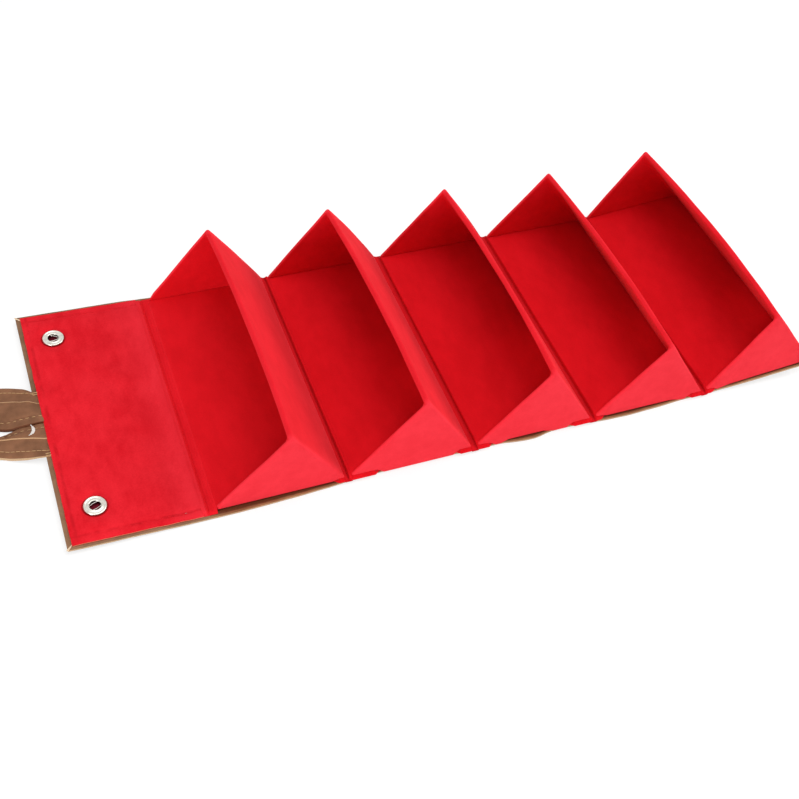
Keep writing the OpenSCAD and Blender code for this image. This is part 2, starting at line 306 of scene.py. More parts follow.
def finish_piece(piece, material, smooth=40):
    """Brings a piece to metres, shades it and gives it its finish."""
    piece.data.transform(Matrix.Scale(0.001, 4))
    only(piece)
    bpy.ops.object.shade_smooth_by_angle(angle=math.radians(smooth))
    piece.data.materials.clear()
    piece.data.materials.append(material)


# Fibres of the cut edge, and the dark brown of the painted shade inside the edge
fibre_dark, fibre_light = (0.42, 0.25, 0.13), (0.66, 0.45, 0.27)
edge_shade_brown = (0.105, 0.026, 0.006)


def leather_finish(name, dark, light, grain_mm=0.9, edge_shade=0.0):
    """Cowhide with pores, pale fibres where it is cut, and a band of painted shade inside its edge.
    """
    skin = Finish(name)
    tone = skin.patches(28, 3, 0.6) * 0.6 + skin.patches(6, 2) * 0.4
    cells = skin.put("TexVoronoi", {"feature": "DISTANCE_TO_EDGE"},
                     {"Vector": skin.place(), "Scale": 1000 / grain_mm})
    pores = cells.above(0.10, 0.10)
    colour = skin.tint(tone.above(0.5, 0.16), dark, light)
    fibre = skin.patches(0.5, 2, 0.6, (1, 1, 0.3))
    raw = skin.tint(fibre, fibre_dark, fibre_light)
    inset = skin.mark("inset") + skin.patches(3, 2) * 0.6
    edge_shade_band = (inset.above(1.3, 0.5) * (1 - inset.above(9, 2))) * edge_shade
    colour = skin.tint(edge_shade_band, colour, edge_shade_brown)
    colour = skin.tint(skin.mark("raw"), colour, raw)
    height = pores * 0.6 + skin.patches(0.4, 3) * 0.4
    return skin.surface(Base_Color=colour, Roughness=0.42 + tone * 0.2,
                        Normal=skin.relief(height, 0.09, 0.55), Specular_IOR_Level=0.2)


hide = leather_finish("brown cowhide", (0.19, 0.094, 0.046), (0.29, 0.155, 0.082))
# Painted shade: the panels' leather is darkened inside both long edges, where it lies in shade under
# the gussets.
edge_shaded_hide = leather_finish("cowhide with painted edge shade", (0.23, 0.102, 0.042), (0.34, 0.170, 0.075),
                                edge_shade=0.95)


def mark_raw(piece, test):
    """Marks the faces that show the cut leather, as a face attribute."""
    layer = piece.data.attributes.new("raw", "FLOAT", "FACE")
    layer.data.foreach_set("value", [1.0 if test(f) else 0.0 for f in piece.data.polygons])


def mark_inset(piece, distance):
    """Keeps each point's distance from the cut edge in millimetres, as an attribute."""
    layer = piece.data.attributes.new("inset", "FLOAT", "POINT")
    layer.data.foreach_set("value", [distance(v.co) for v in piece.data.vertices])


def along(line, x, soft=3.0):
    """Height of a softened broken line at x."""
    def straight(at):
        for (x0, y0), (x1, y1) in zip(line, line[1:]):
            if at <= x1:
                return y0 + (y1 - y0) * max(0.0, (at - x0) / (x1 - x0))
        return line[-1][1]
    return (straight(x - soft) + 2 * straight(x) + straight(x + soft)) / 4


def drill(piece, x, y, radius, low, high):
    """A round hole straight through a piece."""
    deselect()
    bpy.ops.mesh.primitive_cylinder_add(vertices=48, radius=radius, depth=high - low,
                                        location=(x, y, (low + high) / 2))
    bit = bpy.context.object
    modify(piece, "BOOLEAN", operation="DIFFERENCE", object=bit, solver="EXACT")
    bpy.data.objects.remove(bit)


def bend(piece, fold, reach):
    """Bakes the piece's transform into its points; it does not bend the piece."""
    (fold - reach) / 1000
    (fold + reach) / 1000
    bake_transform(piece)


# The leather is cut at edge_y and then drawn to its real edges, which moves all past border_y
edge_y, border_y = 86.0, 82.0
# Each stud's place from the last fold and from the middle line, and its recess in the leather
stud_x, stud_y = 20.625, 65.0
recess_r, recess_top = 5.6, 0.62


def leather_length(name, x0, x1, fold, nodes):
    """The sheet from x0 to x1 with one fold in it, in place of the CAD's pieces on both sides."""
    first, last = x0 < flap_fold, x1 > fold_x(5) + pitch / 2
    piece = block(name, (x0 - (not first), -edge_y, 0.0), (x1 + (not last), edge_y, leather_top))
    if last:
        for y in (-stud_y, stud_y):
            drill(piece, fold_x(5) + stud_x, y, recess_r, -3, recess_top)
    round_edges(piece, 0.35, 2, 60)
    trim(piece, X * x0, -X)
    trim(piece, X * x1, X)
    near_fold = [fold + k / 2 for k in range(-4, 5) if x0 < fold + k / 2 < x1]
    slices(piece, X, near_fold + [x for x in steps(x0, x1, 4) if abs(x - fold) > 3])
    slices(piece, Y, range(-80, 81, 20))
    mark_raw(piece, lambda f: abs(f.normal.z) < 0.3)

    def lay(p):
        if p.y < -border_y:
            p.y -= along(front_edge, p.x) - edge_y
        elif p.y > border_y:
            p.y += along(back_edge, p.x) - edge_y
        if abs(p.y) > border_y:
            p.y += wobble(Vector((p.x, p.y, 0)), 9, 0.2)
        return lie(p)
    # The distance from the edge places the band of painted shade on the panels' leather.
    mark_inset(piece, lambda p: edge_y - abs(p.y) if p.z > leather_top / 2 else 20.0)
    shape(piece, lay)
    finish_piece(piece, hide if fold == flap_fold else edge_shaded_hide)
    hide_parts(*nodes)
    bend(piece, fold, 1.0 if fold < spine_fold + 1 else 2.0)


middle = {panel: fold_x(panel) + pitch / 2 for panel in range(1, 6)}
spine_middle = spine_fold - spine_width / 2
last_end = fold_x(6) - 2.0
for panel in (5, 4, 3, 2):
    end = last_end if panel == 5 else middle[panel]
    leather_length("leather_%d_to_%d" % (panel - 1, panel), middle[panel - 1], end, fold_x(panel),
                   ["outer_leather_%d" % panel])
leather_length("leather_spine_to_1", spine_middle, middle[1], spine_fold,
               ["outer_leather_1", "spine_leather"])
leather_length("leather_flap", flap_fold - flap_length, spine_middle, flap_fold,
               ["flap_leather"])


# Floor linings
# Red suede glued over the board of each floor, its edge turned down to the leather. It comes
# out a little past the gussets close to the folds, and draws in under their middle.
groove, floor_top, floor_y = 1.99, 4.0, 86.3
suede_dark, suede_light = (0.62, 0.004, 0.009), (0.77, 0.007, 0.015)
# Painted light for faces that the lamps light, painted shade for creases, and the cream of raw side
# faces
lit_dark, lit_light = (0.79, 0.021, 0.035), (0.91, 0.037, 0.057)
crease_shade_red, side_cream = (0.34, 0.002, 0.005), (0.62, 0.26, 0.14)


def suede_finish(name, dark, light, shaded=None, pale=None, cut=False):
    """Red suede. Of the two masks, the first paints shade into creases and pale paints light onto
    faces that the lamps light; with cut, the faces marked as raw are cream."""
    nap = Finish(name)
    wide, narrow = nap.patches(26, 3, 0.6, (1, 0.7, 1)), nap.patches(7, 3, 0.6, (1, 0.5, 1))
    brushed = wide * 0.5 + narrow * 0.5
    fuzz = nap.patches(1.0, 5, 0.75)
    mask = brushed.above(0.5, 0.18) * 0.55 + fuzz.above(0.5, 0.3) * 0.45
    colour = nap.tint(mask, dark, light)
    if pale:
        colour = nap.tint(pale(nap), colour, nap.tint(mask, lit_dark, lit_light))
    if shaded:
        colour = nap.tint(shaded(nap), colour, crease_shade_red)
    if cut:
        colour = nap.tint(nap.mark("raw"), colour, side_cream)
    height = fuzz * 0.6 + nap.patches(0.45, 2, 0.6) * 0.4
    return nap.surface(Base_Color=colour, Roughness=0.9, Specular_IOR_Level=0.06,
                       Sheen_Weight=0.10, Sheen_Roughness=0.5, Sheen_Tint=(1, 0.3, 0.3, 1),
                       Normal=nap.relief(height, 0.12, 0.4))


def axes(finish):
    """X, Y and Z of a point in millimetres."""
    return [finish.put("SeparateXYZ", {}, {0: finish.place()}, output=k) * 1000 for k in range(3)]


red_suede = suede_finish("red suede", suede_dark, suede_light)

# How far along its front edge each floor's lining stands out, from the fold before and behind
tab_after = {1: 3, 2: 20, 3: 12, 4: 8, 5: 10}
tab_before = {1: 9, 2: 13, 3: 17, 4: 13, 5: 6}
back_tab = 3


def suede_floor(panel):
    x0, x1 = groove, pitch - groove
    piece = block("suede_floor_%d" % panel, (x0, -floor_y, leather_top - 0.02),
                  (x1, floor_y, floor_top))
    round_edges(piece, 0.6, 3)
    slices(piece, X, steps(x0, x1, 3.5))
    slices(piece, Y, [-85.2, -84.5] + steps(-84, 84, 5) + [84.5, 85.2])

    def lay(p):
        after, before = back_tab, back_tab
        if p.y < 0:
            after, before = tab_after[panel], tab_before[panel]
        tab = max(ramp((after - p.x) / 3), ramp((before - pitch + p.x) / 3))
        if abs(p.y) > 84.7:
            p.y += math.copysign(1, p.y) * (0.2 - 2.9 * (1 - tab))
            p.z -= 0.9 * ramp((p.z - 2.5) / 0.5)
        here = Vector((p.x + fold_x(panel), p.y, 0))
        if p.z > 3.2 and abs(p.y) < 83:
            p.z += wobble(here, 16, 0.16) - 0.05
        p.x += fold_x(panel)
        return lie(p)
    shape(piece, lay)
    finish_piece(piece, red_suede)
    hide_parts("floor_lining_%d" % panel)
    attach(piece, "panel_%d" % panel)


for panel in range(1, 6):
    suede_floor(panel)


# Floor boards
# Stiff grey board glued on the leather under each floor's suede, a little shorter than the
# gussets stand apart. The last one has holes for the two studs.
def speckled(name, size_mm, detail, rough, dark, light, depth_mm, strength, roughness):
    """A plain dull stuff with small specks."""
    stuff = Finish(name)
    specks = stuff.patches(size_mm, detail, rough)
    return stuff.surface(Base_Color=stuff.tint(specks, dark, light),
                         Roughness=roughness, Normal=stuff.relief(specks, depth_mm, strength))


grey_board = speckled("grey board", 1.4, 4, 0.7, (0.20, 0.15, 0.10), (0.32, 0.26, 0.19),
                      0.05, 0.4, 0.9)
board_y, under_suede = 83.2, 0.65
stud_hole_r = 4.6


def floor_board(panel):
    piece = block("floor_board_%d" % panel, (groove + 0.7, -board_y, leather_top + 0.02),
                  (pitch - groove - 0.7, board_y, floor_top - under_suede))
    if panel == 5:
        for y in (-stud_y, stud_y):
            drill(piece, stud_x, y, stud_hole_r, 0, 5)
    round_edges(piece, 0.3, 2)
    slices(piece, X, steps(groove, pitch - groove, 12))
    shape(piece, lambda p: lie(p + X * fold_x(panel)))
    finish_piece(piece, grey_board)
    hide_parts("base_board_%d" % panel)
    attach(piece, "panel_%d" % panel)


for panel in range(1, 6):
    floor_board(panel)


# Suede in the folds
# Between two floors the lining dips to the leather in a soft groove and is glued there; this
# is what bends when the case is rolled up. By the flap two such grooves leave a low ridge.
def groove_shade(nap):
    """Mask of painted shade in the grooves, full in their creases just over the leather."""
    return (1 - axes(nap)[2].above(2.8, 1.4)) * 0.5


def hinge_highlight(nap):
    """Mask of the painted highlight on the band by the flap's fold."""
    out = axes(nap)[0]
    return out.above(flap_fold - 11, 14) * (1 - out.above(flap_fold + 1.4, 0.8)) * 0.6


# Painted shade darkens the suede down in each groove's crease.
groove_shaded_suede = suede_finish("crushed suede", suede_dark, suede_light, shaded=groove_shade)
# The spine's suede carries the painted highlight by the flap's fold.
spine_suede = suede_finish("spine suede", (0.67, 0.006, 0.013), (0.83, 0.012, 0.022),
                           pale=hinge_highlight)
fold_y = 86.6
# How far each strip reaches from the middle of its fold, just past the floors' sides
strip_reach = 2.1


def fold_suede(name, x0, x1, profile, fold, reach, finish):
    """A strip of lining from x0 to x1 with its top at the profile's height, thin at both ends."""
    piece = block(name, (x0, -fold_y, leather_top - 0.05), (x1, fold_y, leather_top + 1))
    slices(piece, X, steps(x0, x1, 0.3))
    slices(piece, Y, [-86.3, -85.9, -85.3, -84] + steps(-84, 84, 5) + [84, 85.3, 85.9, 86.3])
    glued = leather_top + 0.15

    def lay(p):
        if p.z > leather_top + 0.5:
            high = profile(p.x) + wobble(Vector((p.x * 0.5, p.y, 0)), 7, 0.12)
            p.z = glued + (high - glued) * (1 - 0.8 * ramp((abs(p.y) - 85) / 1.6))
        return lie(p)
    shape(piece, lay)
    finish_piece(piece, finish, 70)
    bend(piece, fold, reach)


def groove_profile(fold, crease):
    """Falls from the wall's foot to a crease, then rises steeply to the next floor."""
    return lambda x: 2.0 + max(1.9 * (1 - ramp((x - fold + strip_reach) / (crease + strip_reach))),
                               1.95 * ramp((x - fold - crease) / 0.5))


# Where the crease lies, from the middle of the fold before each panel
crease_at = {2: 0.4, 3: 1.8, 4: 1.6, 5: 1.5}
for panel in range(2, 6):
    fold = fold_x(panel)
    fold_suede("fold_suede_%d" % panel, fold - strip_reach, fold + strip_reach,
               groove_profile(fold, crease_at[panel]),
               fold, 1.8, groove_shaded_suede)


def spine_profile(x):
    """A low web between both folds, with a dip at its middle and one by the first floor."""
    web = (0.85 - 0.45 * math.exp(-((x - spine_fold + 2.6) / 0.45) ** 2)
           - 0.25 * math.exp(-((x - spine_fold + 0.3) / 0.4) ** 2))
    into_floor = 1.95 * ramp((x - spine_fold - 0.9) / 1.0)
    into_flap = 1.9 * ramp((flap_fold + 2.4 - x) / 1.4)
    return 1.8 + max(web, into_floor, into_flap)


fold_suede("fold_suede_spine", spine_middle, spine_fold + strip_reach, spine_profile,
           spine_fold, 1.0, spine_suede)
fold_suede("fold_suede_flap", flap_fold - 1.3, spine_middle, spine_profile,
           flap_fold, 0.8, spine_suede)
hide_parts("spine_lining")


# Walls and gussets
# Card wrapped in one piece of red suede: a slanted wall and the two triangles that hold it up,
# glued down on the floor. The wall springs a little outwards between the triangles.
wall_angle, open_angle = math.radians(54.9), math.radians(51.5)
floor_w = pitch - 2 * groove
apex_run = floor_w * math.tan(wall_angle) / (math.tan(wall_angle) + math.tan(open_angle))
apex_rise = apex_run * math.tan(open_angle)
gusset_y, gusset_t, wall_t = 85.0, 2.4, 3.0
# How far the middle of each wall's top springs outwards
wall_bow = {1: 2.3, 2: 2.3, 3: 3.0, 4: 2.6, 5: 3.1}
# How each compartment leans: its front top corner's shift along X and Y, and its back one's
# along X and Z
front_lean = {1: (2.0, -3.0), 2: (2.6, 0.0), 3: (2.8, 1.0), 4: (1.2, 0.3), 5: (1.6, 2.0)}
back_lean = {1: (0.6, 0.0), 2: (-0.4, 0.0), 3: (1.6, 0.0), 4: (-0.7, -2.0), 5: (-0.7, -1.2)}
# How far the wall's back end bulges halfway up
back_bulge = {1: 0.5, 2: 1.0, 3: 0.5, 4: 1.0, 5: 0.5}

# Outward directions of the wall's face and of the open side, and the foot of each
wall_out = Vector((math.sin(wall_angle), 0, math.cos(wall_angle)))
open_out = Vector((-math.sin(open_angle), 0, math.cos(open_angle)))
left_foot = Vector((groove, 0, floor_top))
right_foot = Vector((pitch - groove, 0, floor_top))

# All five are copies of one wedge: its ridge is rounded, its inside is taken out up to the open
# side, and its faces get the points that bowing and leaning move
over_top = floor_top + 60
tray = block("tray", (groove - 1, -gusset_y, floor_top), (pitch, gusset_y, over_top))
trim(tray, right_foot, wall_out)
trim(tray, left_foot, open_out)
only(tray)
bpy.ops.object.mode_set(mode="EDIT")
bpy.ops.mesh.select_mode(type="EDGE")
bpy.ops.mesh.select_all(action="DESELECT")
bpy.ops.object.mode_set(mode="OBJECT")
for edge in tray.data.edges:
    a, b = (tray.data.vertices[v].co for v in edge.vertices)
    edge.select = min(a.z, b.z) > floor_top + apex_rise - 1
bpy.ops.object.mode_set(mode="EDIT")
bpy.ops.mesh.bevel(offset=2.0, segments=5, affect="EDGES")
bpy.ops.object.mode_set(mode="OBJECT")

hollow = block("hollow", (groove - 40, gusset_t - gusset_y, floor_top - 5),
               (pitch, gusset_y - gusset_t, over_top))
trim(hollow, right_foot - wall_out * wall_t, wall_out)
round_edges(hollow, 2.2, 4)
modify(tray, "BOOLEAN", operation="DIFFERENCE", object=hollow, solver="EXACT")
bpy.data.objects.remove(hollow)
round_edges(tray, 0.8, 3, 35)
slices(tray, Y, steps(-gusset_y, gusset_y, 5))
slices(tray, X, steps(groove, pitch - groove, 4))
slices(tray, Z, steps(floor_top, floor_top + apex_rise, 4))


def spring_out(p, panel):
    """Bows the wall outwards between the gussets, and makes the whole piece a little uneven."""
    depth = (right_foot - p).dot(wall_out)
    across = p.y / (gusset_y - gusset_t)
    up = max(0.0, (p.z - floor_top) / apex_rise)
    if depth < wall_t + 0.6 and abs(across) < 1:
        p += wall_out * (wall_bow[panel] * (1 - across * across) * up ** 1.2)
    front = min(1.0, max(0.0, (1 - p.y / gusset_y) / 2))
    bulge = back_bulge[panel] * 4 * up * max(0.0, 1 - up) * (1 - front) ** 2
    p += wall_out * (bulge * max(0.0, 1 - depth / 25))
    (fx, fy), (bx, bz) = front_lean[panel], back_lean[panel]
    p += Vector((front * fx + (1 - front) * bx, front * fy, (1 - front) * bz)) * up
    here = p + X * fold_x(panel)
    soft = 0.28 * ramp((p.z - floor_top) / 6)
    p += wall_out * wobble(here, 19, soft, 1) * 0.8 + Y * wobble(here, 15, soft, 2)
    p.x += fold_x(panel)
    return lie(p)


# Painted light: its outer faces are painted paler, most on the gussets' fronts that face the lamps,
# and on the wall's foot to lift it out of its shade
wrap_suede = suede_finish("wrap suede", suede_dark, suede_light,
                          pale=lambda nap: nap.mark("lit_share"))


def mark_painted_light(piece):
    """How much painted light each point gets: full on the gussets' outer faces, weaker on the wall's,
    and none inside.
    """
    def share(p):
        depth = (right_foot - p).dot(wall_out)
        up = max(0.0, (p.z - floor_top) / apex_rise)
        if abs(p.y) > gusset_y - 0.9:
            return 1.0
        if depth < wall_t - 0.3:
            return 0.3 + 0.7 * (1 - up) ** 3
        return 0.7 if abs(p.y) > gusset_y - gusset_t + 0.3 else 0.0
    layer = piece.data.attributes.new("lit_share", "FLOAT", "POINT")
    layer.data.foreach_set("value", [share(v.co) for v in piece.data.vertices])


def turned_down(p, panel):
    """Brings the foot of both gussets' faces down past the edge of the floor's lining, and in
    front right over the leather's edge where that draws in."""
    from_tab = min(p.x - tab_after[panel], pitch - tab_before[panel] - p.x)
    away = ramp((from_tab + 3) / 3)
    if p.z < floor_top + 1 and abs(p.y) > gusset_y - 1.2:
        over = ramp((85.5 - along(front_edge, p.x + fold_x(panel))) / 0.7) if p.y < 0 else 0.0
        p.z -= (1.4 + 1.9 * over) * away
        p.y -= 0.35 * over * away
    return p


def suede_tray(panel):
    piece = tray.copy()
    piece.data = tray.data.copy()
    piece.name = piece.data.name = "suede_tray_%d" % panel
    bpy.context.collection.objects.link(piece)
    mark_painted_light(piece)
    shape(piece, lambda p: spring_out(turned_down(p, panel), panel))
    finish_piece(piece, wrap_suede, 50)
    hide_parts("wall_cover_%d" % panel, "front_gusset_%d" % panel, "back_gusset_%d" % panel)
    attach(piece, "panel_%d" % panel)


for panel in range(1, 6):
    suede_tray(panel)
bpy.data.objects.remove(tray)


# Wall and gusset boards
# The stiff board inside each slanted wall and each triangle, wrapped by the suede and bowed
# with it.
def join_all(pieces, name):
    """Makes one piece of several."""
    only(pieces[0])
    for piece in pieces[1:]:
        piece.select_set(True)
    bpy.ops.object.join()
    joined = bpy.context.object
    joined.name = joined.data.name = name
    return joined


def wrapped_board(panel, y0, y1, outer, inner):
    """A board between y0 and y1, from outer to inner millimetres behind the wall's outer face."""
    piece = block("board", (groove, y0, floor_top + 0.6), (pitch, y1, floor_top + apex_rise - 2.6))
    trim(piece, right_foot - wall_out * outer, wall_out)
    if inner:
        trim(piece, right_foot - wall_out * inner, -wall_out)
    trim(piece, left_foot - open_out * 0.8, open_out)
    round_edges(piece, 0.25, 2)
    slices(piece, Y, steps(y0, y1, 10))
    slices(piece, Z, steps(floor_top, floor_top + apex_rise, 8))
    shape(piece, lambda p: spring_out(p, panel))
    return piece


wall_reach = gusset_y - gusset_t - 0.6
near, far = wall_reach + 1.3, gusset_y - 0.6
for panel in range(1, 6):
    wall = wrapped_board(panel, -wall_reach, wall_reach, 0.7, 2.3)
    wall.name = wall.data.name = "wall_board_%d" % panel
    sides = [wrapped_board(panel, y0, y1, wall_t + 0.4, None)
             for y0, y1 in ((-far, -near), (near, far))]
    gussets = join_all(sides, "gusset_boards_%d" % panel)
    for piece, node in ((wall, "wall_card_%d"), (gussets, "gusset_cards_%d")):
        finish_piece(piece, grey_board)
        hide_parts(node % panel)
        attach(piece, "panel_%d" % panel)


# Flap lining
# Red suede over thin foam, sewn to the leather close to its edge with red thread. The foam
# makes it soft, so it dimples along the seam and settles round the two rings.
lining_end, lining_y = flap_fold - 71.4, 87.0
lining_hinge = flap_fold - 0.6
flap_top = 3.0
# How far in from the free edge and from both sides the seam runs
seam_left, seam_in = 3.2, 4.6
# The sockets' place, the hole for each in the suede, and how far round it the painted shadow of the
# ring reaches
socket_at, socket_hole_r, ring_shadow_r = flap_fold - 55.0, 5.8, 7.2
# Creases that the strap's ends press into the lining: place along its edge, distance in from
# it, length and depth
flap_creases = [(44, 5.5, 4, 0.4), (30, 7.5, 6, 0.5), (10, 5.8, 5, 0.4), (-3, 7.2, 3, 0.3),
                (-22, 5.6, 6, 0.5), (-29, 8.4, 3, 0.3), (-46, 6.2, 5, 0.3), (60, 6.0, 4, 0.3)]


def from_edge(p):
    """Distance from the lining's three sewn edges."""
    return min(p.x - lining_end, lining_y - abs(p.y))


def flap_surface(p):
    """Height of the lining's face above its flat state."""
    edge, hinge = from_edge(p), lining_hinge - p.x
    ring = min(math.hypot(p.x - socket_at, p.y - y) for y in (-stud_y, stud_y))
    settle = ramp((ring - 6.5) / 5)
    in_left, in_side = p.x - lining_end - seam_left, lining_y - abs(p.y) - seam_in
    seam = math.exp(-(min(abs(in_left), abs(in_side)) / 1.2) ** 2) * ramp(1 + min(in_left, in_side))
    puff = 0.6 * ramp(edge / 16) + 0.3 * ramp(edge / 4)
    roll = 0.5 * math.exp(-(hinge / 5) ** 2) - 0.3 * math.exp(-((hinge - 10) / 6) ** 2)
    soft = wobble(p, 17, 0.6, 3) + wobble(Vector((p.x, p.y * 0.5, 0)), 6, 0.2, 4)
    soft *= ramp(min(edge, hinge) / 7)
    pucker = 0.3 * noise.noise(Vector((p.x * 0.25, p.y * 0.16, 4)))
    creases = sum(deep * math.exp(-((edge - off) / 1.1) ** 2 - ((p.y - at) / long) ** 2)
                  for at, off, long, deep in flap_creases)
    tabs = 0.25 * ramp((24 - abs(p.y)) / 2) * ramp((lining_end + 14 - p.x) / 3)
    return settle * (puff + roll + tabs + soft) - creases - 0.25 - seam * (0.35 + pucker)


def near_socket(finish, radius, soft):
    """Mask of what lies within a radius of the middle of either socket, in millimetres."""
    out, across, _ = axes(finish)
    out = out - socket_at
    across = across.math("ABSOLUTE", across) - stud_y
    return 1 - (out * out + across * across).above(radius ** 2, 2 * radius * soft)


def seam_ring_shade(nap):
    """Mask of painted shade in the seam's dent, and of painted shadow round each ring."""
    out, across, _ = axes(nap)
    left = out - (lining_end + seam_left)
    side = across.math("ABSOLUTE", across) - (lining_y - seam_in)
    off = left.math("MINIMUM", left.math("ABSOLUTE", left), side.math("ABSOLUTE", side))
    seam = (1 - off.above(0.8, 0.8)) * nap.patches(7, 2).above(0.48, 0.15) * 0.4
    return seam.math("MAXIMUM", seam, near_socket(nap, ring_shadow_r, 0.3) * 0.8)


piece = block("flap_suede", (lining_end, -lining_y, leather_top + 0.02),
              (lining_hinge, lining_y, flap_top))
round_edges(piece, 0.5, 3)
for y in (-stud_y, stud_y):
    drill(piece, socket_at, y, socket_hole_r, 0, 5)
slices(piece, X, steps(lining_end, flap_fold - 1, 1.3))
slices(piece, Y, steps(-lining_y, lining_y, 1.6))


def lay(p):
    """Puffs the face, and makes the sides and the free edge a little wavy."""
    if p.z > flap_top - 0.2:
        p.z += flap_surface(p)
    if abs(p.y) > lining_y - 1:
        p.y += wobble(Vector((p.x, 0, p.y)), 8, 0.3)
    if p.x < lining_end + 1:
        p.x += wobble(Vector((0, p.y, 3)), 8, 0.35)
    return lie(p)


mark_raw(piece, lambda f: abs(f.normal.z) < 0.2)
shape(piece, lay)
# Painted shade along the seam and round the rings, painted highlight by the hinge, and cream on the
# raw side faces.
flap_nap = suede_finish("flap suede", (0.61, 0.003, 0.010), (0.85, 0.020, 0.033),
                        shaded=seam_ring_shade, pale=hinge_highlight, cut=True)
finish_piece(piece, flap_nap, 60)
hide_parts("flap_lining")
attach(piece, "flap")


# Seam round the flap
# Single red stitches through lining and leather along the flap's three free sides, each pulled
# down into the suede.
def stitch_run(name, points, length, gauge, material, body):
    """Stitches along a run of (place, direction), tied to body if one is given and left loose if not.
    """
    deselect()
    bpy.ops.mesh.primitive_uv_sphere_add(segments=8, ring_count=6, radius=1)
    one = bpy.context.object
    copies = []
    for place, ahead in points:
        copy = one.copy()
        copy.data = one.data.copy()
        bpy.context.collection.objects.link(copy)
        turn = ahead.to_track_quat("X", "Z").to_matrix().to_4x4()
        size = Matrix.Diagonal((length / 2, gauge / 2, gauge / 2, 1))
        copy.data.transform(Matrix.Translation(place) @ turn @ size)
        copies.append(copy)
    bpy.data.objects.remove(one)
    seam = join_all(copies, name)
    finish_piece(seam, material)
    if body:
        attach(seam, body)
    return seam


def thread_finish(name, dark, light):
    thread = Finish(name)
    twist = thread.patches(0.35, 2, 0.5)
    return thread.surface(Base_Color=thread.tint(twist, dark, light), Roughness=0.7,
                          Specular_IOR_Level=0.1, Normal=thread.relief(twist, 0.05, 0.5))


# Distance from stitch to stitch along the sides and along the free edge
side_step, end_step = 3.6, 3.65


def flap_seam():
    """Stitches along both sides, back and front in turn, and then along the free edge."""
    run = []
    for k in range(18):
        run += [(Vector((flap_fold - 4 - side_step * k, y, 0)), X)
                for y in (lining_y - seam_in, seam_in - lining_y)]
    for k in range(-22, 23):
        run.append((Vector((lining_end + seam_left, end_step * k, 0)), Y))
    sewn = []
    for place, ahead in run:
        place.z = flap_top + flap_surface(place) + 0.02
        sewn.append((lie(place), ahead))
    return sewn


red_thread = thread_finish("red thread", (0.62, 0.009, 0.016), (0.78, 0.015, 0.026))
stitch_run("flap_seam", flap_seam(), 2.7, 0.42, red_thread, "flap")


# Mitred corners of the flap
# The leather's border is turned over and cut at 45 degrees at both free corners, where its
# pale cut edge shows as a short bright line.
def corner(name, side):
    """A sliver that starts at the leather's corner and gets narrower inwards."""
    tip = Vector((flap_fold - flap_length + 0.4, side * 88.3, leather_top + 0.14))
    half, half_wide, half_thick = 2.6, 0.5, 0.3
    piece = block(name, (-half, -half_wide, -half_thick), (half, half_wide, half_thick))
    round_edges(piece, 0.12, 2)
    turn = Matrix.Rotation(math.radians(-45 * side), 3, "Z")

    def taper(p):
        p.y *= 1.0 - 0.55 * (p.x + half) / (2 * half)
        return lie(tip + turn @ (p + X * 1.7))
    shape(piece, taper)
    finish_piece(piece, cut_cream)
    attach(piece, "flap")


cut_cream = thread_finish("cut corner", (0.70, 0.50, 0.33), (0.90, 0.72, 0.52))
corner("corner_front", -1)
corner("corner_back", 1)


# Press studs
# Nickel-plated brass: a ring with a rolled rim and lip in the flap's lining, two spring wires in
# # its mouth, a domed cap on the outside, and a stud riveted into the last panel. Painted shade
# # makes the inside of the ring's mouth nearly black, and the socket's floor is a dark red disc
# # of painted shade.

# How far from its middle the ring's mouth, painted dark as shade, ends, and its side with the painted
# reflection of the suede starts
mouth_r, rim_r = 3.15, 6.3


def metal_finish(name, dark, light, rough, inside=None, rim=None):
    """Metal with fine scratches. inside is a ring's painted shade in its mouth, and rim the painted
    reflection of shaded suede at its side.
    """
    metal = Finish(name)
    cloud = metal.patches(2.5, 3, 0.6)
    scratches = metal.patches(0.5, 3, 0.6)
    colour = metal.tint(cloud.above(0.5, 0.2), dark, light)
    if inside:
        colour = metal.tint(near_socket(metal, mouth_r, 0.05), colour, inside)
        colour = metal.tint(near_socket(metal, rim_r, 0.03), rim, colour)
    return metal.surface(Base_Color=colour, Metallic=1.0, Roughness=rough + scratches * 0.15,
                         Normal=metal.relief(scratches, 0.02, 0.3))


nickel = metal_finish("nickel plate", (0.60, 0.575, 0.53), (0.80, 0.775, 0.73), 0.27)
# Painted shade makes the mouth nearly black, and a painted reflection of shaded suede makes the side
# dark red.
ring_nickel = metal_finish("nickel ring", (0.56, 0.54, 0.48), (0.76, 0.74, 0.67), 0.27,
                           inside=(0.03, 0.025, 0.02), rim=(0.30, 0.10, 0.09))
# The wires are painted darker than the plate, as painted shade, since they lie down in the ring's
# mouth.
shaded_wire_metal = metal_finish("spring wire", (0.42, 0.38, 0.35), (0.66, 0.62, 0.58), 0.22)
# Painted shade: a dark red for the floor deep in each socket.
socket_floor_shade = metal_finish("socket floor shade", (0.10, 0.006, 0.012), (0.17, 0.012, 0.024), 0.5)


def coat(node, material):
    """Gives a plain piece of the frame its finish."""
    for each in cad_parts[node].material_slots:
        each.material = material


for node in ("snap_caps", "stud_posts", "stud_backs"):
    coat(node, nickel)

# The ring's section as distances from its middle and heights, once round from its outer side
ring_section = [(6.45, 3.10), (6.42, 3.48), (6.26, 3.82), (5.98, 4.04), (5.70, 4.06), (5.46, 3.92),
                (5.20, 3.82), (4.90, 3.80), (4.55, 3.84), (4.20, 3.94), (3.88, 4.06), (3.58, 4.08),
                (3.30, 3.96), (3.10, 3.66), (3.02, 3.20), (3.00, 2.60), (3.02, 2.00), (3.40, 1.95),
                (3.60, 2.40), (4.00, 2.75), (4.80, 2.80), (5.60, 2.76), (6.15, 2.76), (6.40, 2.85)]
torus_r = 5


